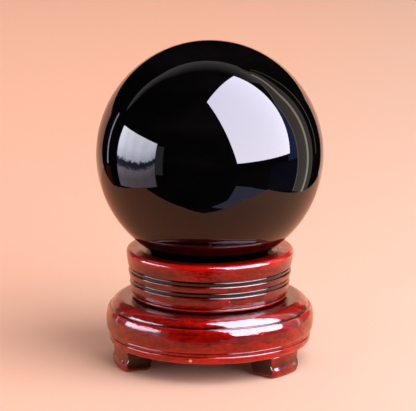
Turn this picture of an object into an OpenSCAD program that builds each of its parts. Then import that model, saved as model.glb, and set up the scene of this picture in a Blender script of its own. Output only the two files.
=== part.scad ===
// Polished obsidian ball on a two-tier turned wooden stand.
// The upper tier (the collar) turns on the lower one (the base) on a small
// ball-bearing turntable, and the ball rests loose in the collar.
// Millimetres, +Z up, origin on the ground under the middle of the ball.

/* [Ball] */
// Diameter of the polished ball
ball_d = 100; // [84:1:120]
// Free space between the ball and its seat, measured square to the seat
seat_gap = 0.15; // [0.1:0.05:0.4]
// Depth of the hollow under the ball, which keeps the ball's pole off the wood
relief_gap = 1.1; // [0.6:0.1:2]

/* [Collar] */
// Widest diameter of the collar, just under its top edge
collar_d = 74; // [61:1:89]
// How much the collar's radius shrinks from its top edge to its foot
collar_taper = 2.3; // [0:0.1:4]
// Height of the plain band under the rim
band_h = 7.5; // [6:0.1:9]
// Height of the middle bead
middle_bead_h = 3.1; // [2.5:0.1:4]
// Height of the lower bead of the collar
lower_bead_h = 5.5; // [4:0.1:7]
// Height of each quirk, the thin fillet that parts two beads
quirk_h = 1.9; // [1.4:0.1:2.4]
// Height of the small foot of the collar
collar_foot_h = 1.2; // [0.8:0.1:1.8]
// Depth of the cuts beside each quirk
cut_depth = 0.8; // [0.4:0.1:1.2]
// Radius of the rounded top edge
rim_round = 1.7; // [1:0.1:2.4]
// Width of the flat rim
rim_w = 4.8; // [3:0.1:7]
// Width and depth of the bevel inside the rim
bevel_w = 0.8; // [0.4:0.1:1.2]
// Width of the sloping ledge between the bevel and the seat
ledge_w = 4.5; // [3:0.1:5]
// Fall of the ledge towards the seat
ledge_fall = 0.6; // [0:0.1:1]
// Width of the conical seat that carries the ball
seat_w = 2.7; // [2:0.1:4]

/* [Base] */
// Widest diameter of the base
base_d = 92; // [76:1:110]
// Height of the bead along the base's lower edge
base_bead_h = 3.5; // [2.5:0.1:5]
// Height of the quirk above that bead
base_quirk_h = 1.7; // [1.2:0.1:2.4]
// Height of the full round moulding
torus_h = 10.4; // [8:0.1:13]
// Height of the shoulder, with the cut at its foot
shoulder_h = 4.3; // [3.6:0.1:6]
// Free height between the base and the collar that turns on it
turn_gap = 0.8; // [0.5:0.1:1.5]

/* [Feet] */
// Height of the feet
foot_h = 9.6; // [8:0.1:12]
// Width of a foot
foot_w = 19.2; // [14:0.2:24]
// Depth of a foot, from its outer face inwards
foot_depth = 12; // [9:0.5:14]
// Height of the rolled toe
toe_h = 4.3; // [3:0.1:5]
// Direction of the rear foot, as an angle from +X
foot_angle = 81; // [0:1:119]
// Diameter of the dowels that pin the feet
dowel_d = 4; // [3:0.5:5]
// Length of the dowels
dowel_len = 11; // [8:0.5:13]

/* [Turntable bearing] */
// Diameter of the two pressed plates
plate_d = 50; // [44:1:60]
// Thickness of the plates
plate_t = 1; // [0.8:0.1:1.2]
// Height of the whole bearing, over both plates
bearing_h = 7.9; // [7.5:0.1:9]
// Diameter of the circle that the steel balls run on
race_d = 24; // [20:1:26]
// Diameter of a steel ball
race_ball_d = 3.2; // [2.5:0.1:3.4]
// Number of steel balls
race_ball_count = 14; // [8:1:15]
// Outer diameter of the hollow rivet
rivet_d = 7.9; // [6:0.1:9]
// Diameter of the hole that lets a screwdriver through the base
access_d = 6.4; // [5:0.1:7]

/* [Screws] */
// Diameter of the wood screws
screw_d = 2.2; // [1.8:0.1:2.6]
// Length of the screws under the head
screw_len = 7; // [5:0.5:8]
// Diameter of the screw heads
screw_head_d = 4.2; // [3.6:0.1:5]

/* [Hidden] */
$fn = 128;
eps = 0.01;             // how far a cutter runs past the face it cuts
arc_steps = 8;          // straight pieces in a quarter of a small round

// clearances
running = 0.05;         // radial, for a piece that turns in or on another
pilot = 0.03;           // radial, for a dowel or a screw in its hole
recess_gap = 0.6;       // radial, round the bearing's plates
plate_hole_gap = 0.2;   // radial, for a screw through a plate

// heights from the ground up
base_z = foot_h;
base_quirk_z = base_z + base_bead_h;
torus_z = base_quirk_z + base_quirk_h;
shoulder_z = torus_z + torus_h;
base_top = shoulder_z + shoulder_h;
collar_z = base_top + turn_gap;
collar_h = collar_foot_h + lower_bead_h + middle_bead_h + band_h + 2 * quirk_h;
collar_top = collar_z + collar_h;

// heights of the collar's mouldings above its foot
lower_bead_z = collar_foot_h;
lower_quirk_z = lower_bead_z + lower_bead_h;
middle_bead_z = lower_quirk_z + quirk_h;
upper_quirk_z = middle_bead_z + middle_bead_h;
band_z = upper_quirk_z + quirk_h;

// the two recesses that hold the bearing between base and collar
recess_depth = (bearing_h - turn_gap) / 2;
recess_r = plate_d / 2 + recess_gap;
bearing_z = base_top - recess_depth;
bearing_mid = bearing_h / 2;

// radii of the base
base_r = base_d / 2;
base_bead_r = base_r - 1.3;
base_under_r = base_bead_r - 1.4;   // edge of the flat underside
base_quirk_r = base_r - 1.4;
torus_rx = 4.5;                     // half width of the round moulding
torus_low = 39;                     // angles where it meets its neighbours
torus_high = 48;
shoulder_rx = 5.6;
shoulder_flat_r = base_r - 7.5;     // where the flat top starts to fall
shoulder_low = 28;
shoulder_cut_h = 0.95;
shoulder_cut_r = base_r - 2.5;

quirk_inset = 0.3;                  // how far a quirk stands back from the beads

// radii and heights of the seat
collar_r = collar_d / 2;
rim_in_r = collar_r - rim_round - rim_w;
ledge_out_r = rim_in_r - bevel_w;
ledge_in_r = ledge_out_r - ledge_w;
ledge_in_z = collar_top - bevel_w - ledge_fall;
seat_in_r = ledge_in_r - seat_w;
seat_r = (ledge_in_r + seat_in_r) / 2;

// the ball touches the cone where the cone's slope is the ball's own
ball_r = ball_d / 2;
seat_slope = asin(seat_r / ball_r);
seat_z = ledge_in_z - (ledge_in_r - seat_r) * tan(seat_slope);
seat_in_z = ledge_in_z - seat_w * tan(seat_slope);
ball_z = seat_z + seat_gap / cos(seat_slope) + ball_r * cos(seat_slope);

// feet
foot_r = base_under_r;
neck_depth = 0.85;                  // how far the neck is cut in above the toe
toe_out = 1.05;                     // how far the toe rolls out of the neck
foot_corner = 3;                    // round at the foot's bottom corners
foot_back_slope = 1.5;              // lean of the hidden inner face
dowel_r = foot_r - foot_depth / 2;
dowel_z = foot_h - dowel_len / 2;

// bearing
plate_r = plate_d / 2;
race_r = race_d / 2;
race_ball_r = race_ball_d / 2;
race_groove_r = race_ball_r + 0.15;
race_groove_z = bearing_mid + race_groove_r - race_ball_r - running;
web_sink = 0.4;                     // how far each groove is sunk into its web
web_top = bearing_mid - race_ball_r - running + web_sink;
web_z = web_top - plate_t;
web_r = race_r + 4.2;
step_r = web_r + 1.6;
rivet_r = rivet_d / 2;
rivet_wall = 1;
rivet_lip_r = rivet_r + 1.7;
rivet_lip_t = 0.6;
cage_w = 5.2;
cage_t = 0.8;
cage_hole_gap = 0.1;

// screws
screw_r = screw_d / 2;
screw_head_r = screw_head_d / 2;
screw_head_h = 1.2;
screw_circle_r = plate_r - 3.7;
screw_count = 3;
screw_angle = foot_angle + 60;      // lower screws; the upper ones are between
upper_screw_angle = foot_angle;     // one of them over the access hole

obsidian = "#0b0a0b";
lacquer_red = "#8a1511";
steel = "#b8bbbe";
zinc = "#c9c4a8";
brass = "#c39a55";
beech = "#c9a36a";

// points of an elliptical arc about [x, z], from angle a to angle b
function arc(x, z, rx, rz, a, b, steps = arc_steps) = [
    for (i = [0 : steps])
        let (t = a + (b - a) * i / steps)
        [x + rx * cos(t), z + rz * sin(t)]
];

// outline of one bead: a face that leans from radius r0 to r1, with both
// edges rounded over `soft` of height and cut back by `cut`
function bead(z0, z1, r0, r1, cut, soft) = concat(
    arc(r0 - cut, z0 + soft, cut, soft, -90, 0),
    arc(r1 - cut, z1 - soft, cut, soft, 0, 90)
);

// radius of the collar's face at a height above its foot
function collar_face(h) = collar_r - collar_taper * (1 - h / (collar_h - rim_round));

// a quirk stands a little back from the beads on both sides
function quirk(z0, z1) =
    bead(z0, z1, collar_face(z0) - quirk_inset, collar_face(z1) - quirk_inset,
         cut_depth - quirk_inset, 0.5);

module turned(points) {
    rotate_extrude() polygon(points);
}

module around(count, angle, radius) {
    for (i = [0 : count - 1])
        rotate([0, 0, angle + i * 360 / count]) translate([radius, 0, 0]) children();
}

module ball() {
    color(obsidian) translate([0, 0, ball_z]) sphere(r = ball_r);
}

// ---- upper tier ----

module collar_blank() {
    edge_soft = 0.6;
    foot_inset = 0.3;
    band_r = collar_face(band_z);
    turned(concat(
        [[0, 0]],
        bead(0, lower_bead_z, collar_face(0) - foot_inset, collar_face(lower_bead_z) - foot_inset,
             0.4, 0.4),
        bead(lower_bead_z, lower_quirk_z, collar_face(lower_bead_z), collar_face(lower_quirk_z),
             cut_depth, edge_soft),
        quirk(lower_quirk_z, middle_bead_z),
        bead(middle_bead_z, upper_quirk_z, collar_face(middle_bead_z), collar_face(upper_quirk_z),
             cut_depth, edge_soft),
        quirk(upper_quirk_z, band_z),
        arc(band_r - cut_depth, band_z + edge_soft, cut_depth, edge_soft, -90, 0),
        arc(collar_r - rim_round, collar_h - rim_round, rim_round, rim_round, 0, 90),
        [[0, collar_h]]
    ));
}

// everything turned out of the collar's top: bevel, ledge and conical seat
module seat_cut() {
    turned([
        [0, seat_in_z], [seat_in_r, seat_in_z], [ledge_in_r, ledge_in_z],
        [ledge_out_r, collar_top - bevel_w], [rim_in_r, collar_top],
        [rim_in_r, collar_top + 1], [0, collar_top + 1]
    ]);
}

// round hollow under the ball, a little larger than the ball
module ball_relief() {
    intersection() {
        translate([0, 0, ball_z]) sphere(r = ball_r + relief_gap);
        cylinder(r = seat_in_r, h = ball_z);
    }
}

module collar() {
    color(lacquer_red) difference() {
        translate([0, 0, collar_z]) collar_blank();
        seat_cut();
        ball_relief();
        translate([0, 0, collar_z - eps]) cylinder(r = recess_r, h = recess_depth + eps);
        around(screw_count, upper_screw_angle, screw_circle_r)
            translate([0, 0, bearing_z + bearing_h - eps])
                cylinder(r = screw_r + pilot, h = screw_len - plate_t + pilot + eps);
    }
}

// ---- lower tier ----

module base_blank() {
    torus_rz = torus_h / (sin(torus_low) + sin(torus_high));
    torus_mid = torus_z + torus_rz * sin(torus_low);
    shoulder_rz = (shoulder_h - shoulder_cut_h) / (1 - sin(shoulder_low));
    turned(concat(
        [[0, base_z], [base_under_r, base_z]],
        arc(base_under_r, base_z + 1.8, 1.3, 1.8, -75, 0),
        arc(base_bead_r - 0.8, base_quirk_z - 0.6, 0.8, 0.6, 0, 90),
        bead(base_quirk_z, torus_z, base_quirk_r, base_quirk_r, 0.5, 0.5),
        arc(base_r - torus_rx, torus_mid, torus_rx, torus_rz, -torus_low, torus_high, 24),
        [[shoulder_cut_r, shoulder_z + 0.2], [shoulder_cut_r - 0.2, shoulder_z + 0.5]],
        arc(shoulder_flat_r, base_top - shoulder_rz, shoulder_rx, shoulder_rz, shoulder_low, 90, 16),
        [[0, base_top]]
    ));
}

module base_body() {
    color(lacquer_red) difference() {
        base_blank();
        translate([0, 0, bearing_z]) cylinder(r = recess_r, h = recess_depth + 1);
        around(screw_count, screw_angle, screw_circle_r)
            translate([0, 0, bearing_z + plate_t - screw_len - pilot])
                cylinder(r = screw_r + pilot, h = screw_len);
        around(1, foot_angle, screw_circle_r)
            translate([0, 0, base_z - 1]) cylinder(d = access_d, h = base_top);
        around(3, foot_angle, dowel_r)
            translate([0, 0, base_z - 1])
                cylinder(r = dowel_d / 2 + pilot, h = dowel_len / 2 + 1.2);
    }
}

// section of a foot along its radius: cut-in neck above a rolled toe
module foot_section() {
    neck_r = foot_r - neck_depth;
    neck_steps = 8;
    polygon(concat(
        [[foot_r - foot_depth + foot_back_slope, 0]],
        arc(neck_r, toe_h / 2, toe_out, toe_h / 2, -90, 82, 14),
        [for (i = [0 : neck_steps])
            let (u = i / neck_steps)
            [neck_r + neck_depth * (1 - cos(90 * u)), toe_h + (foot_h - toe_h) * u]],
        [[foot_r - foot_depth, foot_h]]
    ));
}

// front of a foot: straight sides, bottom corners rounded
module foot_front() {
    half = foot_w / 2;
    polygon(concat(
        arc(foot_corner - half, foot_corner, foot_corner, foot_corner, 180, 270),
        arc(half - foot_corner, foot_corner, foot_corner, foot_corner, 270, 360),
        [[half, foot_h], [-half, foot_h]]
    ));
}

module foot(index) {
    color(lacquer_red) rotate([0, 0, foot_angle + index * 120]) difference() {
        intersection() {
            rotate_extrude() foot_section();
            rotate([90, 0, 90]) linear_extrude(base_r) foot_front();
        }
        translate([dowel_r, 0, dowel_z])
            cylinder(r = dowel_d / 2 + pilot, h = foot_h);
    }
}

module foot_rear() { foot(0); }
module foot_front_left() { foot(1); }
module foot_front_right() { foot(2); }

module foot_dowels() {
    chamfer = 0.4;
    color(beech) around(3, foot_angle, dowel_r) translate([0, 0, dowel_z]) {
        cylinder(r1 = dowel_d / 2 - chamfer, r2 = dowel_d / 2, h = chamfer);
        translate([0, 0, chamfer]) cylinder(d = dowel_d, h = dowel_len - 2 * chamfer);
        translate([0, 0, dowel_len - chamfer])
            cylinder(r1 = dowel_d / 2, r2 = dowel_d / 2 - chamfer, h = chamfer);
    }
}

// ---- turntable bearing ----

// section of a pressed plate: web with the ball groove pressed into it, and a
// flange that lies flat on the wood
module plate_section() {
    under_r = race_groove_r + plate_t;
    over = asin((race_groove_z - web_top) / race_groove_r);
    under = asin((race_groove_z - web_z) / under_r);
    polygon(concat(
        [[rivet_r + running, web_z]],
        arc(race_r, race_groove_z, under_r, under_r, 180 + under, 360 - under),
        [[web_r, web_z], [step_r, 0], [plate_r, 0], [plate_r, plate_t],
         [step_r + plate_t / 2, plate_t], [web_r + plate_t / 2, web_top]],
        arc(race_r, race_groove_z, race_groove_r, race_groove_r, 360 - over, 180 + over),
        [[rivet_r + running, web_top]]
    ));
}

// a plate lying on its flange, with screw holes at `angle`
module race_plate(angle) {
    difference() {
        rotate_extrude() plate_section();
        around(screw_count, angle, screw_circle_r)
            translate([0, 0, -1]) cylinder(r = screw_r + plate_hole_gap, h = plate_t + 2);
    }
}

module lower_race_plate() {
    color(steel) translate([0, 0, bearing_z]) difference() {
        race_plate(screw_angle);
        around(1, foot_angle, screw_circle_r)
            translate([0, 0, -1]) cylinder(d = access_d, h = plate_t + 2);
    }
}

module upper_race_plate() {
    color(steel) translate([0, 0, bearing_z + bearing_h]) mirror([0, 0, 1])
        race_plate(upper_screw_angle);
}

module race_balls() {
    color(steel) around(race_ball_count, foot_angle, race_r)
        translate([0, 0, bearing_z + bearing_mid]) sphere(r = race_ball_r, $fn = 32);
}

module ball_cage() {
    color(brass) translate([0, 0, bearing_z + bearing_mid - cage_t / 2]) difference() {
        cylinder(r = race_r + cage_w / 2, h = cage_t);
        translate([0, 0, -1]) cylinder(r = race_r - cage_w / 2, h = cage_t + 2);
        around(race_ball_count, foot_angle, race_r)
            translate([0, 0, -1]) cylinder(r = race_ball_r + cage_hole_gap, h = cage_t + 2);
    }
}

// hollow rivet: its lower lip is pressed to the lower web, and its upper lip
// keeps the upper web down with running clearance
module race_rivet() {
    low = web_z - rivet_lip_t;
    high = bearing_h - web_z + running;
    color(zinc) translate([0, 0, bearing_z]) turned([
        [rivet_r - rivet_wall, low], [rivet_lip_r, low], [rivet_lip_r, web_z],
        [rivet_r, web_z], [rivet_r, high], [rivet_lip_r, high],
        [rivet_lip_r, high + rivet_lip_t], [rivet_r - rivet_wall, high + rivet_lip_t]
    ]);
}

// a pan-head screw, head up, its head resting on z = 0
module screw() {
    tip = 1.6;
    recess_w = 0.7;
    recess_l = 2.4;
    difference() {
        turned(concat(
            [[0, 0]],
            arc(screw_head_r * 0.45, 0, screw_head_r * 0.55, screw_head_h, 0, 90),
            [[0, screw_head_h]]
        ));
        for (turn = [0, 90]) rotate([0, 0, turn])
            translate([-recess_l / 2, -recess_w / 2, screw_head_h - 0.7])
                cube([recess_l, recess_w, 1]);
    }
    translate([0, 0, tip - screw_len]) cylinder(r = screw_r, h = screw_len - tip);
    translate([0, 0, -screw_len]) cylinder(r1 = 0.25, r2 = screw_r, h = tip);
}

module lower_race_screws() {
    color(zinc) around(screw_count, screw_angle, screw_circle_r)
        translate([0, 0, bearing_z + plate_t]) screw();
}

module upper_race_screws() {
    color(zinc) around(screw_count, upper_screw_angle, screw_circle_r)
        translate([0, 0, bearing_z + bearing_h - plate_t]) mirror([0, 0, 1]) screw();
}

ball();
collar();
base_body();
foot_rear();
foot_front_left();
foot_front_right();
foot_dowels();
lower_race_plate();
upper_race_plate();
race_balls();
ball_cage();
race_rivet();
lower_race_screws();
upper_race_screws();
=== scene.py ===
"""A polished black obsidian ball on a round wooden stand with dark red gloss lacquer.

The stand is two turned tiers: the collar that carries the ball turns on the base below it.
"""
import math

import bpy
import numpy as np
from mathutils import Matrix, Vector


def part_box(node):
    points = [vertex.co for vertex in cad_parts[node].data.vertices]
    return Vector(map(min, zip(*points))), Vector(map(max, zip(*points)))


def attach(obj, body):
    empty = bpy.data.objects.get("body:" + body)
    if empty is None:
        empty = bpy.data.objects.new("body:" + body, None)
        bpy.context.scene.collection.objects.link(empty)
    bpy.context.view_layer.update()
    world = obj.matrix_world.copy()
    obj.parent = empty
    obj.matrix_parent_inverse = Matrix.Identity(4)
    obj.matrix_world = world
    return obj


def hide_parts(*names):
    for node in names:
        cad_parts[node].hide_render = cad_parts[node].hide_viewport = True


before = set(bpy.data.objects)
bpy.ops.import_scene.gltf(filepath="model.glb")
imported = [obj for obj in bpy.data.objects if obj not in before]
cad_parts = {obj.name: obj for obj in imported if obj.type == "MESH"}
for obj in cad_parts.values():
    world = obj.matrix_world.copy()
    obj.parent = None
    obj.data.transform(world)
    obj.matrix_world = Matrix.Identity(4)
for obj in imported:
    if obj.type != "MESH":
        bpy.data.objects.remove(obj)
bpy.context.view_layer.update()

# ---------------------------------------------------------------- camera
# A long lens a good metre in front, a little above the ball, as one looks
# down on a thing that stands on a table.
MM = 0.001                                  # metres in a millimetre
LOOK_DOWN = math.radians(13)
CAMERA_DISTANCE = 1.305
LOOK_AT = Vector((-0.8, 0, 70)) * MM        # beside the turning axis, low in the ball
LENS = 256.1                                # focal length in millimetres, on a 36 mm sensor

scene = bpy.context.scene
scene.view_settings.view_transform = "Standard"
camera = bpy.data.objects.new("camera", bpy.data.cameras.new("camera"))
camera.data.sensor_width = 36
camera.data.lens = LENS
camera.data.dof.use_dof = False
towards_camera = Vector((0, -math.cos(LOOK_DOWN), math.sin(LOOK_DOWN)))
camera.location = LOOK_AT + CAMERA_DISTANCE * towards_camera
camera.rotation_euler = (math.pi / 2 - LOOK_DOWN, 0, 0)
scene.collection.objects.link(camera)
scene.camera = camera

ball_low, ball_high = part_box("ball")
BALL = (ball_low + ball_high) / 2 / MM      # the ball's middle, in millimetres
BALL_R = (ball_high.z - ball_low.z) / 2 / MM


# ---------------------------------------------------------------- table and paper
# The stand sits on a long sheet of matt peach paper that lies over a table
# and rises behind it. The camera sees only paper; reflections see where it ends.
def linear(colour):
    """sRGB hex to linear RGBA: divided by 12.92 near black, and a power of 2.4 above that."""
    value = np.array([int(colour[i:i + 2], 16) for i in (1, 3, 5)]) / 255
    return (*np.where(value <= 0.04045, value / 12.92, ((value + 0.055) / 1.055) ** 2.4), 1.0)


def add(tree, kind, inputs=None, stops=(), **settings):
    """Adds one node. Inputs are values, or the sockets that feed them; stops colour a ramp."""
    made = tree.nodes.new("ShaderNode" + kind)
    for name, value in settings.items():
        setattr(made, name, value)
    for name, value in (inputs or {}).items():
        if isinstance(value, bpy.types.NodeSocket):
            tree.links.new(value, made.inputs[name])
        else:
            made.inputs[name].default_value = value
    for index, (place, colour) in enumerate(stops):
        stop = made.color_ramp.elements[index] if index < 2 else made.color_ramp.elements.new(place)
        stop.position, stop.color = place, linear(colour)
    return made


def new_material(name):
    """A material with an empty node tree and its output node."""
    made = bpy.data.materials.new(name)
    made.use_nodes = True
    made.node_tree.nodes.clear()
    return made, made.node_tree, add(made.node_tree, "OutputMaterial")


def new_mesh(name, points, faces, material, smooth=True, **fields):
    """An object from points in millimetres and faces; each field is one number for each point."""
    mesh = bpy.data.meshes.new(name)
    mesh.from_pydata((np.asarray(points) * MM).tolist(), [], [list(f) for f in faces])
    for field, values in fields.items():
        mesh.attributes.new(field, "FLOAT", "POINT").data.foreach_set("value", np.ravel(values))
    mesh.polygons.foreach_set("use_smooth", np.full(len(mesh.polygons), smooth))
    mesh.materials.append(material)
    mesh.update()
    made = bpy.data.objects.new(name, mesh)
    scene.collection.objects.link(made)
    return made


def grid_faces(rows, columns, wrap_rows=False, wrap_columns=False):
    """Four-sided faces of a grid of points, numbered row by row, closed round either way."""
    row = np.arange(rows if wrap_rows else rows - 1)[:, None]
    column = np.arange(columns if wrap_columns else columns - 1)[None, :]
    next_row, next_column = (row + 1) % rows, (column + 1) % columns
    corners = (row * columns + column, row * columns + next_column,
               next_row * columns + next_column, next_row * columns + column)
    return np.stack(corners, axis=-1).reshape(-1, 4)


def on_stage(piece, camera=False, mirrors=False, matt=False):
    """Marks a piece as surroundings that cast no shadow, and says what sees it."""
    piece.visible_camera = camera
    piece.visible_glossy = mirrors
    piece.visible_diffuse = matt
    piece.visible_transmission = False
    piece.visible_shadow = False


def peach_paper(name, left, middle, right, see_through_behind):
    """Matt coated paper with a soft cloudy tint: three colours from its left to its right.

    How far right a spot counts is its x, less a share of its y, plus shares of the clouds
    and of the fibres. The slide from the warmer left to the paler right and front is painted
    light, for how the room's light falls across the paper. Where see_through_behind is true,
    the paper is clear from its back.
    """
    material, tree, output = new_material(name)
    place = add(tree, "TexCoord").outputs["Object"]
    parts = add(tree, "SeparateXYZ", {0: place})
    cloud = add(tree, "TexNoise", {"Vector": place, "Scale": 9.0, "Detail": 3.0}).outputs["Fac"]
    fibre = add(tree, "TexNoise", {"Vector": place, "Scale": 1100.0, "Detail": 2.0}).outputs["Fac"]
    shift = add(tree, "Math", {0: cloud, 1: 0.09, 2: parts.outputs["X"]}, operation="MULTIPLY_ADD")
    shift = add(tree, "Math", {0: parts.outputs["Y"], 1: -0.16, 2: shift.outputs[0]},
                operation="MULTIPLY_ADD")
    shift = add(tree, "Math", {0: fibre, 1: 0.2, 2: shift.outputs[0]}, operation="MULTIPLY_ADD")
    side = add(tree, "MapRange", {0: shift.outputs[0], 1: 0.01, 2: 0.3}).outputs[0]
    tint = add(tree, "ValToRGB", {0: side},
               stops=((0.0, left), (1.0, right), (0.5, middle))).outputs[0]
    shader = add(tree, "BsdfDiffuse", {"Color": tint, "Roughness": 0.3}).outputs[0]
    if see_through_behind:
        behind = add(tree, "NewGeometry").outputs["Backfacing"]
        clear = add(tree, "BsdfTransparent").outputs[0]
        shader = add(tree, "MixShader", {0: behind, 1: shader, 2: clear}).outputs[0]
    tree.links.new(shader, output.inputs["Surface"])
    return material


TABLE_HALF = 6000
SHEET_LEVEL = -0.5      # the mirrored sheet lies this far under the one that the camera sees
table = new_mesh("table_paper", [(-TABLE_HALF, -TABLE_HALF, 0), (TABLE_HALF, -TABLE_HALF, 0),
                                 (TABLE_HALF, TABLE_HALF, 0), (-TABLE_HALF, TABLE_HALF, 0)],
                 [(0, 1, 2, 3)], peach_paper("peach_paper", "#E2B4A0", "#DCB8A8", "#D8BDB0", True))
on_stage(table, camera=True)

# the sheet's outline on the table, from its front left corner; its cut front edge is uneven
sheet_outline = [(-222, -103), (-159, -114), (-106, -119), (-61, -120), (-12, -112), (32, -125),
                 (87, -140), (191, -126), (196, 11), (205, 250), (-299, 250), (-226, 90)]
# the sheet that mirrors see is the same paper painted darker and warmer: painted shade
sheet = new_mesh("paper_flat", [(x, y, SHEET_LEVEL) for x, y in sheet_outline],
                 [range(len(sheet_outline))],
                 peach_paper("peach_paper_mirrored_painted_darker", "#D89474", "#DC9A7A", "#E4AC90", False))
on_stage(sheet, mirrors=True, matt=True)


def rising_paper(back, top, bend, left, right):
    """Paper that bends up a quarter circle and goes on upright to its top edge.

    Its depth is back less bend plus bend times the sine of the turn, and its height is bend
    less bend times the cosine.
    """
    turn = np.radians(np.linspace(0, 90, 13))
    depth = np.append(back - bend + bend * np.sin(turn), back)
    height = np.append(bend - bend * np.cos(turn), top) + SHEET_LEVEL
    edges = [np.stack((np.full(len(depth), side), depth, height), axis=-1)
             for side in (left, right)]
    return np.stack(edges, axis=1).reshape(-1, 3), grid_faces(len(depth), 2)[:, ::-1]


# the rising paper that mirrors see is the same paper painted paler: painted light
rise = new_mesh("paper_rise", *rising_paper(back=300, top=158, bend=50, left=-313, right=221),
                peach_paper("peach_paper_rising_painted_paler", "#E8B49A", "#ECBCA4", "#F2CAB4", False))
on_stage(rise, mirrors=True)


# ---------------------------------------------------------------- lights of the room
# A big softbox high at the right, a window low at the left, and the dim things
# that stand round the table. The softbox and the window come twice: a bright card
# that mirrors see, and a weaker one that lights matt surfaces.
def glow(name, colour, strength, top_colour=None):
    """An even light, or one that fades from its own colour at the bottom to top_colour."""
    material, tree, output = new_material(name)
    shade = linear(colour)
    if top_colour:
        up = add(tree, "SeparateXYZ", {0: add(tree, "UVMap").outputs[0]}).outputs["Y"]
        shade = add(tree, "ValToRGB", {0: up}, stops=((0.0, colour), (1.0, top_colour))).outputs[0]
    light = add(tree, "Emission", {"Color": shade, "Strength": strength})
    tree.links.new(light.outputs[0], output.inputs["Surface"])
    return material


def with_uv(piece, rows, columns):
    """Gives a grid piece a UV map that runs 0 to 1 along its columns and its rows."""
    loops = np.empty(len(piece.data.loops), np.int32)
    piece.data.loops.foreach_get("vertex_index", loops)
    place = np.stack((loops % columns / (columns - 1), loops // columns / (rows - 1)), axis=-1)
    piece.data.uv_layers.new(name="UVMap").data.foreach_set("uv", place.ravel())
    return piece


def panel(name, centre, facing, width, height, material):
    """A flat panel with level top and bottom edges, turned the way it faces.

    Its middle is counted in millimetres from the ball's, and each corner is half its width
    and half its height away from that.
    """
    facing = Vector(facing).normalized()
    right = Vector((0, 0, 1)).cross(facing).normalized()
    up = facing.cross(right)
    middle = BALL + Vector(centre)
    corners = [middle + right * width * i / 2 + up * height * j / 2
               for j in (-1, 1) for i in (-1, 1)]
    return with_uv(new_mesh(name, corners, [(0, 1, 3, 2)], material, smooth=False), 2, 2)


def far_card(name, around, heights, material, distance=1300, lean=0.0):
    """A patch of a big sphere round the ball, from its bearings and its heights in degrees.

    Bearings count from the front to the right. Above lean_from degrees of height the patch
    leans over: its bearing grows by `lean` degrees times the share of the way up to lean_at,
    to the power lean_curve.
    """
    rows, columns = 25, 9
    lean_from, lean_at, lean_most, lean_curve = 35.0, 60.0, 1.4, 1.3
    height = np.linspace(*heights, rows)[:, None] * np.ones(columns)
    over = np.clip((height - lean_from) / (lean_at - lean_from), 0, lean_most)
    bearing = np.linspace(*around, columns)[None, :] + lean * over ** lean_curve
    height, bearing = np.radians(height), np.radians(bearing)
    away = np.stack((np.cos(height) * np.sin(bearing), -np.cos(height) * np.cos(bearing),
                     np.sin(height)), axis=-1)
    points = np.array(BALL) + distance * away.reshape(-1, 3)
    made = new_mesh(name, points, grid_faces(rows, columns), material)
    on_stage(with_uv(made, rows, columns), mirrors=True)


SOFTBOX_LIGHT, WINDOW_LIGHT, BACK_LIGHT = 4.3, 1.8, 2.4     # what each gives matt surfaces
# each place is a middle, a facing, a width and a height
softbox_place = (420, -340, 635), (0.79, -0.435, 0.43), 940, 1360
softbox_cloth = glow("softbox_cloth", "#F2ECFF", 21.0, "#E4DFF6")
on_stage(panel("softbox", *softbox_place, softbox_cloth), mirrors=True)
softbox_beam = glow("softbox_beam", "#FFF6F2", SOFTBOX_LIGHT)
on_stage(panel("softbox_light", *softbox_place, softbox_beam), matt=True)

# a lit wall and ceiling behind the stand, which only light matt surfaces
on_stage(panel("back_light", (0, 900, 800), (0, 0.6, 0.8), 1600, 700,
               glow("back_light_glow", "#FFEBDD", BACK_LIGHT)), matt=True)


def window_view(name):
    """A window in a dark room: bright cloud above a dark line of trees, pale ground below."""
    material, tree, output = new_material(name)
    place = add(tree, "UVMap").outputs[0]
    parts = add(tree, "SeparateXYZ", {0: place})
    rough = add(tree, "TexNoise", {"Vector": place, "Scale": 14.0, "Detail": 8.0,
                                   "Roughness": 0.8}).outputs["Fac"]
    # the line of trees is ragged, and it rises towards one edge of the window
    lift = add(tree, "Math", {0: parts.outputs["X"], 1: 5.0}, operation="POWER").outputs[0]
    ragged = add(tree, "Math", {0: rough, 1: -0.3, 2: parts.outputs["Y"]}, operation="MULTIPLY_ADD")
    height = add(tree, "Math", {0: lift, 1: -0.2, 2: ragged.outputs[0]}, operation="MULTIPLY_ADD")
    view = add(tree, "ValToRGB", {0: height.outputs[0]},
               stops=((0.0, "#544B52"), (0.9, "#F4F3FF"), (0.17, "#6A626C"), (0.22, "#262632"),
                      (0.32, "#20202C"), (0.36, "#B4B6C8"), (0.55, "#DEDEF0"))).outputs[0]
    # a thin curtain's folds
    folds = add(tree, "TexWave", {"Vector": place, "Scale": 1.3, "Distortion": 3.0}).outputs["Fac"]
    shaded = add(tree, "MapRange", {0: folds, 3: 0.92, 4: 1.0}).outputs[0]
    strength = add(tree, "Math", {0: shaded, 1: 14.0}, operation="MULTIPLY").outputs[0]
    light = add(tree, "Emission", {"Color": view, "Strength": strength})
    tree.links.new(light.outputs[0], output.inputs["Surface"])
    return material


window_bearing, window_away, window_rise = math.radians(-80), 1000, -70
window_way = Vector((math.sin(window_bearing), -math.cos(window_bearing), 0))
window_middle = window_away * window_way + Vector((0, 0, window_rise))
window_place = window_middle, window_way, 920, 746
on_stage(panel("window", *window_place, window_view("window_view")), mirrors=True)
window_daylight = glow("window_daylight", "#E8ECFF", WINDOW_LIGHT)
on_stage(panel("window_light", *window_place, window_daylight), matt=True)

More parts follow.
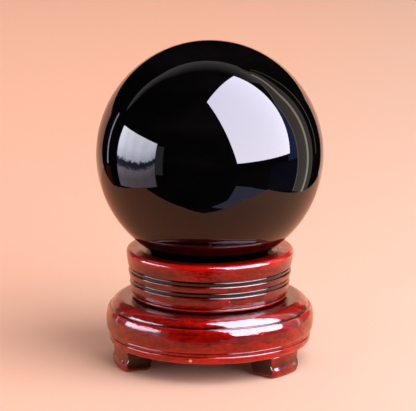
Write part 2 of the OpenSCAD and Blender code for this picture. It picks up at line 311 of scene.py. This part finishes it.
# what stands round the table, by bearings and heights: the window's frame, a far lamp, a warm
# corner, the strips of a wall at the right, a far edge, and what is blue farther off
far_card("window_frame", (-55, -47), (-11.5, 14), glow("grey_frame", "#6E6C72", 2.2))
far_card("far_lamp", (-124, -121.5), (-11, 15), glow("far_lamp_glow", "#C9C6DC", 3.0))
far_card("warm_corner", (-128, -118), (-21, -12), glow("warm_corner_glow", "#8A3E22", 0.6))
far_card("wall_edge", (97, 98.5), (-26, 62), glow("wall_edge_glow", "#B8B2A8", 2.6), lean=33)
far_card("side_wall", (98.5, 112.5), (-26, 60), glow("side_wall_glow", "#8C8078", 2.4),
         distance=1310, lean=26)
far_card("side_light", (112.5, 116), (-26, 55), glow("side_light_glow", "#CFC8BA", 4.2),
         distance=1290, lean=17)
far_card("side_shade", (116, 124), (-26, 54), glow("side_shade_glow", "#8C8078", 1.6), lean=15)
far_card("far_edge", (132, 132.8), (-8, 52), glow("far_edge_glow", "#B8B2A8", 1.6), lean=8)
far_card("blue_room", (84, 97), (-4, 45), glow("blue_room_glow", "#27365E", 6.0), distance=1500)
far_card("blue_floor", (62, 97), (-26, -4), glow("blue_floor_glow", "#27365E", 0.8), distance=1500)
cloth = new_mesh("blue_cloth", [(3, -135, -1), (48, -160, -1), (121, -264, -1), (164, -205, -1),
                                (186, -123, -1), (32, -125, -1)],
                 [range(6)], glow("blue_cloth_glow", "#8A8CB4", 2.0))
on_stage(cloth, mirrors=True)


def ceiling_strip():
    """The edge of a lit ceiling: brightest along its far edge, and dark along its near one.

    The near edge is the far edge times 0.6, brought forward. Both are then pushed out from
    the ball, which keeps their directions, so that they hang behind the softbox.
    """
    far_edge = np.array([(-2400, 1160), (-1300, 800), (-670, 600), (-120, 540), (336, 500),
                         (740, 330)])
    near_edge = far_edge * 0.6 + (0, -100)
    level = np.full(len(far_edge), 1000.0)
    push = 1.8
    rows = np.stack((np.column_stack((far_edge, level)), np.column_stack((near_edge, level))))
    points = np.array(BALL) + push * rows.reshape(-1, 3)
    made = new_mesh("ceiling_edge", points, grid_faces(2, len(far_edge)),
                    glow("ceiling_edge_glow", "#8E868C", 2.4, "#050404"))
    on_stage(with_uv(made, 2, len(far_edge)), mirrors=True)


ceiling_strip()

# What is left over: soft light from all round for matt surfaces, a dark room for mirrors.
world = bpy.data.worlds.new("room")
scene.world = world
world.use_nodes = True
room = world.node_tree
room.nodes.clear()
ray = add(room, "LightPath")
dim = add(room, "Background", {"Color": linear("#10121C"), "Strength": 0.25}).outputs[0]
soft = add(room, "Background", {"Color": linear("#FFF1E8"), "Strength": 0.44}).outputs[0]
pale = add(room, "Background", {"Color": linear("#FAD9C8"), "Strength": 1.0}).outputs[0]
unlit = add(room, "MixShader", {0: ray.outputs["Is Glossy Ray"], 1: soft, 2: dim}).outputs[0]
seen = add(room, "MixShader", {0: ray.outputs["Is Camera Ray"], 1: unlit, 2: pale}).outputs[0]
add(room, "OutputWorld", {"Surface": seen})


# ---------------------------------------------------------------- ball
# Obsidian, a black volcanic glass, sawn to a cube, ground round between two
# cups and polished until it mirrors the room. It lies loose in the collar.
def obsidian():
    """Polished natural glass: nearly no light comes back out of it, so its colour is its mirror.

    Thin bands of flow, a shade lighter than the glass, and a few pinprick bubbles.
    """
    material, tree, output = new_material("obsidian")
    place = add(tree, "TexCoord").outputs["Object"]
    tilt = add(tree, "Mapping", {"Vector": place, "Rotation": (0.5, 0.3, 0.0),
                                 "Scale": (1, 1, 3.5)})
    flow = add(tree, "TexNoise", {"Vector": tilt.outputs[0], "Scale": 28.0, "Detail": 6.0,
                                  "Roughness": 0.6, "Distortion": 0.4}).outputs["Fac"]
    tone = add(tree, "ValToRGB", {0: flow},
               stops=((0.35, "#030303"), (0.75, "#0C0A0B"), (0.55, "#060506"))).outputs[0]
    haze = add(tree, "MapRange", {0: flow, 1: 0.3, 2: 0.8, 3: 0.012, 4: 0.03}).outputs[0]
    # a polishing cup leaves waves a few millimetres long and far under a micron deep
    waves = add(tree, "TexNoise", {"Vector": place, "Scale": 90.0, "Detail": 1.0}).outputs["Fac"]
    bubbles = add(tree, "TexVoronoi", {"Vector": place, "Scale": 160.0}).outputs["Distance"]
    pits = add(tree, "MapRange", {0: bubbles, 1: 0.02, 2: 0.05}).outputs[0]
    height = add(tree, "Math", {0: pits, 1: 0.1, 2: waves}, operation="MULTIPLY_ADD").outputs[0]
    bump = add(tree, "Bump", {"Strength": 0.05, "Distance": 0.00002, "Height": height}).outputs[0]
    glass = add(tree, "BsdfPrincipled", {"Base Color": tone, "Roughness": haze, "IOR": 1.5,
                                         "Normal": bump})
    tree.links.new(glass.outputs[0], output.inputs["Surface"])
    return material


def sphere(centre, radius, rings, around):
    """Points of a sphere: rings at the radius times the sine of their angle down, and two poles."""
    down = np.pi * np.arange(1, rings)[:, None] / rings
    turn = 2 * np.pi * np.arange(around)[None, :] / around
    unit = np.stack((np.sin(down) * np.cos(turn), np.sin(down) * np.sin(turn),
                     np.cos(down) + 0 * turn), axis=-1).reshape(-1, 3)
    return np.array(centre) + radius * np.vstack((unit, (0, 0, 1), (0, 0, -1)))


def pole_faces(rows, around, first_pole, last_pole):
    """Triangles that close the first and the last ring of a grid onto their pole points."""
    here = np.arange(around)
    beyond = (here + 1) % around
    last = (rows - 1) * around
    top = np.stack((here, np.full(around, first_pole), beyond), axis=-1)
    bottom = np.stack((last + beyond, np.full(around, last_pole), last + here), axis=-1)
    return top, bottom


ball_rings, ball_around = 144, 256
top_pole = (ball_rings - 1) * ball_around       # the poles' points follow those of the rings
grid = grid_faces(ball_rings - 1, ball_around, wrap_columns=True)
caps = pole_faces(ball_rings - 1, ball_around, top_pole, top_pole + 1)
ball = new_mesh("obsidian_ball", sphere(BALL, BALL_R, ball_rings, ball_around),
                [*grid[:, ::-1], *(face for cap in caps for face in cap[:, ::-1])], obsidian())
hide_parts("ball")
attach(ball, "ball")


# ---------------------------------------------------------------- collar
# The upper tier, one block of hardwood turned on a lathe: a flat rim, a dished
# seat for the ball, a plain band and two beads. Stained, then lacquered thick and glossy.
def lacquered_wood(name, blank_shift, blank_turn, chips):
    """Stained hardwood under glossy polyester lacquer, as its blank lay in the board.

    It darkens in the grooves and reddens over the edges: partly lacquer that pools and pulls
    thin, partly painted shade in the hollows and painted light on the edges.
    Each chip is a spot in millimetres and its radius, where the lacquer is off the pale wood.
    """
    material, tree, output = new_material(name)
    place = add(tree, "TexCoord").outputs["Object"]
    board = add(tree, "Mapping", {"Vector": place, "Location": blank_shift,
                                  "Rotation": (0.06, 0.1, blank_turn)}).outputs[0]
    # growth rings about an axis along the board, 2.5 to 3 mm apart
    rings = add(tree, "TexWave", {"Vector": board, "Scale": 55.0, "Distortion": 5.0, "Detail": 3.0,
                                  "Detail Scale": 1.4, "Detail Roughness": 0.6},
                wave_type="RINGS", rings_direction="X", wave_profile="SAW").outputs["Fac"]
    # pores: thin dashes along the board
    along = add(tree, "Mapping", {"Vector": board, "Scale": (0.06, 1, 1)}).outputs[0]
    pores = add(tree, "TexNoise", {"Vector": along, "Scale": 1500.0, "Detail": 2.0}).outputs["Fac"]
    # uneven stain: clouds 10 to 15 mm wide with finer blotches in them
    clouds = add(tree, "TexNoise", {"Vector": board, "Scale": 110.0, "Detail": 4.0,
                                    "Roughness": 0.6}).outputs["Fac"]
    flecks = add(tree, "TexNoise", {"Vector": board, "Scale": 620.0, "Detail": 4.0,
                                    "Roughness": 0.7}).outputs["Fac"]
    stain = add(tree, "Mix", {0: 0.5, 2: clouds, 3: flecks}).outputs[0]
    # painted shade in the hollows and painted light on the edges, with pooled lacquer, from the
    # mesh
    pool = add(tree, "Attribute", attribute_name="pool").outputs["Fac"]
    grain = add(tree, "Math", {0: rings, 1: 0.16, 2: stain}, operation="MULTIPLY_ADD").outputs[0]
    grain = add(tree, "Math", {0: pores, 1: 0.18, 2: grain}, operation="MULTIPLY_ADD").outputs[0]
    depth = add(tree, "Math", {0: pool, 1: -0.85, 2: grain}, operation="MULTIPLY_ADD").outputs[0]
    tone = add(tree, "ValToRGB", {0: depth},
               stops=((0.1, "#040000"), (1.0, "#BC130A"), (0.4, "#2C0101"), (0.58, "#560402"),
                      (0.78, "#860905"))).outputs[0]
    # the lacquer's skin: orange peel 2 to 4 mm across, drawn out round the piece, over faint grain
    skin_place = add(tree, "Mapping", {"Vector": place, "Scale": (1, 1, 4)}).outputs[0]
    peel = add(tree, "TexNoise", {"Vector": skin_place, "Scale": 190.0, "Detail": 3.0,
                                  "Roughness": 0.5}).outputs["Fac"]
    sunk = add(tree, "Math", {0: pores, 1: 0.06, 2: peel}, operation="MULTIPLY_ADD").outputs[0]
    skin = add(tree, "Bump", {"Strength": 0.5, "Distance": 0.00022, "Height": sunk}).outputs[0]
    # a chip is bare to its radius, ragged by up to about half a millimetre with the pores
    bare = 0.0
    for *spot, size in chips:
        away = add(tree, "VectorMath", {0: place, 1: Vector(spot) * MM},
                   operation="DISTANCE").outputs["Value"]
        ragged = add(tree, "Math", {0: pores, 1: -0.0011, 2: away},
                     operation="MULTIPLY_ADD").outputs[0]
        here = add(tree, "Math", {0: ragged, 1: size * MM - 0.0005},
                   operation="LESS_THAN").outputs[0]
        bare = add(tree, "Math", {0: here, 1: bare}, operation="MAXIMUM").outputs[0]
    tone = add(tree, "Mix", {0: bare, 6: tone, 7: linear("#D9B795")}, data_type="RGBA").outputs[2]
    wood = add(tree, "BsdfPrincipled", {
        "Base Color": tone, "Roughness": 0.33, "IOR": 1.5, "Normal": skin,
        "Specular Tint": linear("#96180F"),
        "Coat Weight": 1.0, "Coat Roughness": 0.022, "Coat IOR": 1.58, "Coat Normal": skin})
    tree.links.new(wood.outputs[0], output.inputs["Surface"])
    return material


def arc(x, z, across, tall, start, end, steps=24):
    """Points of an ellipse about (x, z): half width times cosine, and half height times sine."""
    turn = np.radians(np.linspace(start, end, steps + 1))
    return np.column_stack((x + across * np.cos(turn), z + tall * np.sin(turn)))


def bead(z0, z1, r0, r1, cut, soft):
    """One bead of a turned outline, from z0 to z1: a face that leans from radius r0 to r1.

    A quarter round at each end is `soft` tall and takes it back by `cut`.
    """
    return np.vstack((arc(r0 - cut, z0 + soft, cut, soft, -90, 0),
                      arc(r1 - cut, z1 - soft, cut, soft, 0, 90)))


def blurred(line, width, step, closed):
    """A line of even steps, averaged with a bell curve of that width; open ends stay put."""
    reach = int(4 * width / step)
    bell = np.exp(-0.5 * (np.arange(-reach, reach + 1) * step / width) ** 2)
    how = {"mode": "wrap"} if closed else {"mode": "reflect", "reflect_type": "odd"}
    padded = np.pad(line, ((reach, reach), (0, 0)), **how)
    bell /= bell.sum()
    return np.stack([np.convolve(column, bell, "valid") for column in padded.T], axis=-1)


def lacquered_outline(corners, closed, film=0.14, turn_step=9.0, long_step=3.0):
    """An outline as it is under a film of lacquer, and the painted shade and light at each point.

    It is walked in even steps and blurred by the film's width, which fills its grooves and eases
    its edges. Points are kept where it has turned by turn_step degrees or run on by long_step.
    Its hollows, where the outline lies inside a much wider blur of itself, take painted shade, all
    of it at `full` millimetres inside; its edges take painted light, the most at `bare` millimetres
    outside. Lacquer also pools in the hollows.
    """
    step, wide_film, full, bare = 0.04, 1.2, 0.2, 0.7
    if closed:
        corners = np.vstack((corners, corners[:1]))
    sides = np.hypot(*np.diff(corners[:, :2], axis=0).T)
    walked = np.concatenate(([0.0], np.cumsum(sides)))
    count = int(walked[-1] / step)
    at = np.linspace(0, walked[-1], count + 1)[:-1 if closed else None]
    line = np.stack([np.interp(at, walked, column) for column in corners.T], axis=-1)
    line = blurred(line, film, step, closed)
    ahead = np.gradient(line[:, :2], axis=0)
    ahead /= np.hypot(*ahead.T)[:, None] + 1e-12
    outward = np.column_stack((ahead[:, 1], -ahead[:, 0]))
    # painted shade where the line lies inside its wide blur, painted light where it lies outside
    wide = blurred(line, wide_film, step, closed)
    pool = np.sum((wide - line)[:, :2] * outward, axis=1)
    pool = np.clip(np.where(pool > 0, pool / full, pool / bare), -1, 1)
    heading = np.unwrap(np.arctan2(ahead[:, 1], ahead[:, 0]))
    spent = np.abs(np.diff(heading)) / np.radians(turn_step) + step / long_step
    spent = np.concatenate(([0.0], np.cumsum(spent)))
    kept = np.unique(np.searchsorted(spent, np.linspace(0, spent[-1], int(spent[-1]) + 2)))
    kept = np.clip(kept[:-1] if closed else kept, 0, len(line) - 1)
    return line[kept], pool[kept]


def turned(name, outline, pool, closed, material, toward=0.0):
    """A lathe piece: each point of the outline carried round the axis, x and y its radius times
    cosine and sine. A third column shifts a circle's middle in the direction `toward`, in radians.
    """
    around = 240
    angle = 2 * np.pi * np.arange(around) / around
    inner = outline if closed else outline[1:-1]
    shift = inner[:, 2:] if outline.shape[1] > 2 else np.zeros((len(inner), 1))
    x = inner[:, :1] * np.cos(angle) + shift * math.cos(toward)
    y = inner[:, :1] * np.sin(angle) + shift * math.sin(toward)
    z = inner[:, 1:2] + 0 * x
    points = np.stack((x, y, z), axis=-1).reshape(-1, 3)
    faces = [*grid_faces(len(inner), around, wrap_rows=closed, wrap_columns=True)]
    # each point's painted shade and light, carried round with it
    spread = np.repeat(pool if closed else pool[1:-1], around)
    if not closed:
        poles = [(0, 0, outline[0, 1]), (0, 0, outline[-1, 1])]
        first, last = pole_faces(len(inner), around, len(points), len(points) + 1)
        points = np.vstack((points, poles))
        spread = np.concatenate((spread, pool[[0, -1]]))
        faces += [*first, *last]
    return new_mesh(name, points, faces, material, pool=spread)


collar_low, collar_high = (Vector(corner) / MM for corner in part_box("collar"))
COLLAR_R, COLLAR_H = collar_high.x, collar_high.z - collar_low.z
RIM_ROUND = 1.7                              # radius of the rim's outer edge
COLLAR_TAPER = 2.3                           # how much narrower the collar's foot is
BEARING_R, BEARING_DEPTH = 25.6, 3.55        # the recess for the bearing in each tier


def collar_face(height):
    """The collar's leaning face: its radius at a height above its foot."""
    return COLLAR_R - COLLAR_TAPER * (1 - height / (COLLAR_H - RIM_ROUND))


def collar_outline():
    """Bearing recess, foot, lower bead, quirk, middle bead, quirk, band, rim, bevel, ledge, seat.

    Heights count from the collar's foot. The seat slopes as the ball does over its middle, and
    the hollow inside it is a sphere just clear of the ball.
    """
    foot, lower, quirk_low, middle, quirk_high = 0.3, 1.2, 6.7, 8.6, 11.7
    band = quirk_high + 1.9
    rim_flat, bevel, ledge, ledge_drop, seat = 4.8, 0.8, 4.5, 0.6, 2.7
    rim_in = COLLAR_R - RIM_ROUND - rim_flat
    ledge_out = rim_in - bevel
    ledge_in, ledge_in_z = ledge_out - ledge, COLLAR_H - bevel - ledge_drop
    seat_in = ledge_in - seat
    slope = math.asin((ledge_in + seat_in) / 2 / BALL_R)
    hollow_r, ball_h = BALL_R + 1.1, BALL.z - collar_low.z
    hollow = math.degrees(math.asin(seat_in / hollow_r))
    # from and to which height, how far behind the face, and how its edges are rounded
    edges = ((0, lower, foot, 0.4, 0.4),
             (lower, quirk_low, 0, 0.8, 0.6), (quirk_low, middle, 0.3, 0.5, 0.5),
             (middle, quirk_high, 0, 0.8, 0.6), (quirk_high, band, 0.3, 0.5, 0.5))
    body = [bead(z0, z1, collar_face(z0) - back, collar_face(z1) - back, cut, soft)
            for z0, z1, back, cut, soft in edges]
    outline = np.vstack((
        [(0, BEARING_DEPTH), (BEARING_R, BEARING_DEPTH), (BEARING_R, 0)], *body,
        arc(collar_face(band) - 0.8, band + 0.6, 0.8, 0.6, -90, 0),
        arc(COLLAR_R - RIM_ROUND, COLLAR_H - RIM_ROUND, RIM_ROUND, RIM_ROUND, 0, 90),
        [(rim_in, COLLAR_H), (ledge_out, COLLAR_H - bevel), (ledge_in, ledge_in_z),
         (seat_in, ledge_in_z - seat * math.tan(slope))],
        arc(0, ball_h, hollow_r, hollow_r, hollow - 90, -90)))
    return outline + (0, collar_low.z)


def collar_painted_shade(outline, pool):
    """The pool and painted shade, with more painted shade in the quirks and in the dish.

    The quirks are painted dark by how far they lie inside the straight face: from
    dark_from on, over dark_over millimetres. The dish under the ball is painted dark too.
    """
    side_r, side_low, side_high = 33, 1, 14.5
    dark_from, dark_over = 0.12, 0.22
    dish_deep, dish_r, dish_edge, dish_dark = 12, 30, 2, 0.5
    radius, height = outline[:, 0], outline[:, 1] - collar_low.z
    on_side = (radius > side_r) & (height > side_low) & (height < side_high)
    # painted shade in the quirks
    quirk = np.clip((collar_face(height) - radius - dark_from) / dark_over, 0, 1)
    pool = np.where(on_side, np.maximum(pool, quirk), pool)
    # painted shade in the dish under the ball
    in_dish = outline[:, 1] > collar_high.z - dish_deep
    return pool + dish_dark * in_dish * np.clip((dish_r - radius) / dish_edge, 0, 1)


outline, pool = lacquered_outline(collar_outline(), closed=False)
collar = turned("turned_collar", outline, collar_painted_shade(outline, pool), False,
                lacquered_wood("lacquered_wood_collar", (0.013, 0.031, 0.018), 0.5,
                               chips=((8.6, -34, 35.2, 0.35), (-20, 29, 50, 0.5))))
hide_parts("collar")
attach(collar, "turntable")


# ---------------------------------------------------------------- base
# The lower tier, a wider turned block: a bead, a quirk, a full round and a
# shoulder. A hole through it lets a screwdriver reach the bearing's upper screws.
base_low, base_high = (Vector(corner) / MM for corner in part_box("base_body"))
BASE_R = base_high.x
REAR_FOOT = math.radians(81)                 # bearing of the rear foot and of the driver hole
DRIVER_R, DRIVER_AWAY = 3.2, 21.3            # the hole's radius, and how far it is off the axis
UNDER_R = BASE_R - 2.7                       # edge of the flat underside


def base_outline():
    """Underside, bead, quirk, full round, cut, shoulder, flat top, bearing recess and driver hole.

    The third column shifts a circle towards the hole: none at the outer edge of each flat that
    the hole pierces, and all the way at the hole.
    """
    low, top = base_low.z, base_high.z
    quirk, torus, shoulder = low + 3.5, low + 5.2, low + 15.6
    # the shoulder starts just above the cut, at that many degrees of its quarter ellipse
    cut_tall, shoulder_start, shoulder_across, flat_r = 0.5, 18, 5.6, BASE_R - 7.5
    shoulder_tall = (top - shoulder - cut_tall) / (1 - math.sin(math.radians(shoulder_start)))
    # the full round is squarer than an ellipse: cosine and sine to a power below one
    squareness, bulge = 0.8, 4.5
    turn = np.radians(np.linspace(-39, 48, 61))
    rise = np.sign(turn) * np.abs(np.sin(turn)) ** squareness
    full_round = np.column_stack((BASE_R - bulge + bulge * np.cos(turn) ** squareness,
                                  np.interp(rise, rise[[0, -1]], (torus, shoulder))))
    outside = np.vstack((
        [(UNDER_R, low)],
        arc(UNDER_R, low + 1.8, 1.3, 1.8, -75, 0),
        arc(BASE_R - 2.1, quirk - 0.6, 0.8, 0.6, 0, 90),
        bead(quirk, torus, BASE_R - 1.4, BASE_R - 1.4, 0.5, 0.5),
        full_round,
        [(BASE_R - 1.95, shoulder + 0.08), (BASE_R - 2.25, shoulder + 0.3)],
        arc(flat_r, top - shoulder_tall, shoulder_across, shoulder_tall, shoulder_start, 90, 40),
        [(BEARING_R, top), (BEARING_R, top - BEARING_DEPTH)]))
    outside = np.column_stack((outside, np.zeros(len(outside))))
    hole = [(DRIVER_R, top - BEARING_DEPTH, DRIVER_AWAY), (DRIVER_R, low, DRIVER_AWAY)]
    return np.vstack((outside, hole))


def base_painted_shade(outline, pool):
    """A share of the pool and painted shade, and a painted shadow of the collar on the flat top
    under it.
    """
    pool_share, collar_shadow, top_deep, top_r, top_edge = 0.7, 0.6, 1, 41, 3
    on_top = outline[:, 1] > base_high.z - top_deep
    # painted shadow of the collar on the flat top
    in_collar_shadow = np.clip((top_r - outline[:, 0]) / top_edge, 0, 1)
    return pool_share * pool + collar_shadow * on_top * in_collar_shadow


outline, pool = lacquered_outline(base_outline(), closed=True)
base = turned("turned_base", outline, base_painted_shade(outline, pool), True,
              lacquered_wood("lacquered_wood_base", (-0.022, 0.046, 0.03), 0.15,
                             chips=((-8.4, -43.9, 11.4, 0.6), (38, 22.8, 12, 0.45))),
              toward=REAR_FOOT)
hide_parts("base_body")
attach(base, "base")


# ---------------------------------------------------------------- feet
# Three bracket feet, sawn from the same wood, carved hollow above a rolled
# toe, pinned and glued under the base, and lacquered with it.
FOOT_HALF, FOOT_DEPTH = 9.6, 12.0            # half its width, and its size along the radius
FOOT_CORNER, FOOT_ARRIS = 3.0, 0.55          # radius of its lower corners and of its side edges
FOOT_H = base_low.z


def foot_section():
    """A foot cut along its radius: sole, rolled toe, crease, hollow neck, joint, sloping back.

    The neck's front comes out to the joint as one less the cosine of a quarter turn.
    """
    hollow, toe, toe_out, crease, back_slope = 0.55, 4.3, 0.2, 0.15, 1.5
    neck = UNDER_R - hollow
    rise = np.linspace(0, 1, 20)[:, None]
    front = np.hstack((neck + hollow * (1 - np.cos(rise * np.pi / 2)),
                       toe + crease + (FOOT_H - toe - crease) * rise))
    return np.vstack(([(UNDER_R - FOOT_DEPTH + back_slope, 0)],
                      arc(neck, toe / 2, hollow + toe_out, toe / 2, -90, 82),
                      front, [(UNDER_R - FOOT_DEPTH, FOOT_H)]))


def foot(name, toward, material):
    """The section carried across the foot, on circles round the stand's axis.

    Near each side the sole lifts along a quarter circle, and the last half millimetre
    of width rounds the side's edge by shrinking the section towards its middle, by
    the quarter circle's inset over half_size.
    """
    half_size, side_ring, pool_share = 4.5, 0.5, 0.3
    end_grain_and_shade, grain_from, grain_over = 0.8, 0.4, 0.3
    section, pool = lacquered_outline(foot_section(), closed=True, film=0.6,
                                      turn_step=10, long_step=1.2)
    pool *= pool_share
    across = FOOT_HALF * np.sin(np.linspace(-np.pi / 2, np.pi / 2, 49))
    past_corner = np.clip(np.abs(across) - (FOOT_HALF - FOOT_CORNER), 0, FOOT_CORNER)
    lift = FOOT_CORNER - np.sqrt(FOOT_CORNER ** 2 - past_corner ** 2)
    past_arris = np.clip(np.abs(across) - (FOOT_HALF - FOOT_ARRIS), 0, FOOT_ARRIS)
    inset = FOOT_ARRIS - np.sqrt(FOOT_ARRIS ** 2 - past_arris ** 2)
    # each flat side has a second, smaller ring inside its edge
    shrink = np.concatenate(([side_ring], 1 - inset / half_size, [side_ring]))[:, None]
    across, lift = (np.pad(row, 1, mode="edge")[:, None] for row in (across, lift))
    middle = UNDER_R - FOOT_DEPTH / 2
    radius = middle + (section[:, 0] - middle) * shrink
    height = FOOT_H - (FOOT_H - section[:, 1]) * (1 - lift / FOOT_H) * np.sqrt(shrink)
    forward = np.sqrt(radius ** 2 - across ** 2)
    x = forward * math.cos(toward) - across * math.sin(toward)
    y = forward * math.sin(toward) + across * math.cos(toward)
    points = np.stack((x, y, height), axis=-1)
    # a point in the middle of each side closes it
    ends = points[[0, -1]].mean(axis=1)
    points = np.vstack((points.reshape(-1, 3), ends))
    side_faces = pole_faces(len(across), len(section), len(points) - 2, len(points) - 1)
    # the sawn sides are painted nearly black: partly end grain, which drinks the stain, and partly
    # painted shade
    sides = np.clip((np.abs(across) - FOOT_HALF + grain_from) / grain_over, 0, 1)
    spread = np.append((pool + end_grain_and_shade * sides).ravel(), (end_grain_and_shade, end_grain_and_shade))
    faces = [*grid_faces(len(across), len(section), wrap_columns=True), *np.vstack(side_faces)]
    return new_mesh(name, points, [face[::-1] for face in faces], material, pool=spread)


for index, which in enumerate(("rear", "front_left", "front_right")):
    wood = lacquered_wood("lacquered_wood_foot_" + which,
                          (0.02 * index, 0.05, 0.01 + 0.013 * index), 1.3,
                          chips=((-35.2, -25.4, 2.6, 0.4), (-31.5, -28.6, 1.2, 0.35)))
    piece = foot("carved_foot_" + which, REAR_FOOT + index * math.tau / 3, wood)
    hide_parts("foot_" + which)
    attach(piece, "base")


# ---------------------------------------------------------------- dowels
# Three fluted beech pins, glued up through the feet into the base. They keep
# their plain machined shape.
def finish_node(name, material):
    """Gives a carried-over node its material."""
    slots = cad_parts[name].data.materials
    slots.clear()
    slots.append(material)


def beech():
    """Unfinished beech: pale pink-brown with short dark flecks along the pin, and matt."""
    material, tree, output = new_material("beech")
    place = add(tree, "TexCoord").outputs["Object"]
    along = add(tree, "Mapping", {"Vector": place, "Scale": (1, 1, 0.12)}).outputs[0]
    flecks = add(tree, "TexNoise", {"Vector": along, "Scale": 1800.0, "Detail": 4.0}).outputs["Fac"]
    tone = add(tree, "ValToRGB", {0: flecks},
               stops=((0.3, "#8E6238"), (0.7, "#D2A777"), (0.45, "#BE915F"))).outputs[0]
    fibre = add(tree, "Bump", {"Strength": 0.4, "Distance": 0.0001, "Height": flecks}).outputs[0]
    wood = add(tree, "BsdfPrincipled", {"Base Color": tone, "Roughness": 0.75, "IOR": 1.5,
                                        "Normal": fibre})
    tree.links.new(wood.outputs[0], output.inputs["Surface"])
    return material


finish_node("foot_dowels", beech())


# ---------------------------------------------------------------- bearing
# A bought turntable bearing: two plates pressed from steel sheet, fourteen
# hard steel balls in a brass cage between them, and a hollow rivet through the middle.
def metal(name, light, dark, roughness, grain_mm, scratch):
    """A metal with patches of two tones, and fine marks grain_mm apart that vary its roughness."""
    material, tree, output = new_material(name)
    place = add(tree, "TexCoord").outputs["Object"]
    patches = add(tree, "TexNoise", {"Vector": place, "Scale": 160.0, "Detail": 3.0}).outputs["Fac"]
    tone = add(tree, "ValToRGB", {0: patches}, stops=((0.35, dark), (0.65, light))).outputs[0]
    marks = add(tree, "TexNoise", {"Vector": place, "Scale": 1000.0 / grain_mm, "Detail": 3.0})
    rough = add(tree, "MapRange", {0: marks.outputs["Fac"], 1: 0.3, 2: 0.7,
                                   3: roughness * 0.7, 4: roughness * 1.4}).outputs[0]
    bump = add(tree, "Bump", {"Strength": scratch, "Distance": 0.00003,
                              "Height": marks.outputs["Fac"]}).outputs[0]
    shader = add(tree, "BsdfPrincipled", {"Base Color": tone, "Metallic": 1.0,
                                          "Roughness": rough, "Normal": bump})
    tree.links.new(shader.outputs[0], output.inputs["Surface"])
    return material


# bright cold-rolled sheet with a trace of press oil
pressed_steel = metal("pressed_steel", "#C4C6C8", "#A4A6A8", 0.3, 0.8, 0.25)
finish_node("lower_race_plate", pressed_steel)
finish_node("upper_race_plate", pressed_steel)
# ground and lapped chrome steel, which mirrors
finish_node("race_balls", metal("chrome_steel", "#D6D8DA", "#C8CACC", 0.08, 0.5, 0.05))
# stamped brass, a little dull
finish_node("ball_cage", metal("stamped_brass", "#D9B36A", "#B68A45", 0.32, 0.6, 0.25))
# zinc plate with a faint yellow cast
zinc_plate = metal("zinc_plate", "#CFCBB2", "#A9A892", 0.36, 0.5, 0.3)
finish_node("race_rivet", zinc_plate)


# ---------------------------------------------------------------- screws
# Six cross-headed wood screws hold the bearing's plates, three up into the
# collar and three down into the base, zinc plated like the rivet.
finish_node("lower_race_screws", zinc_plate)
finish_node("upper_race_screws", zinc_plate)
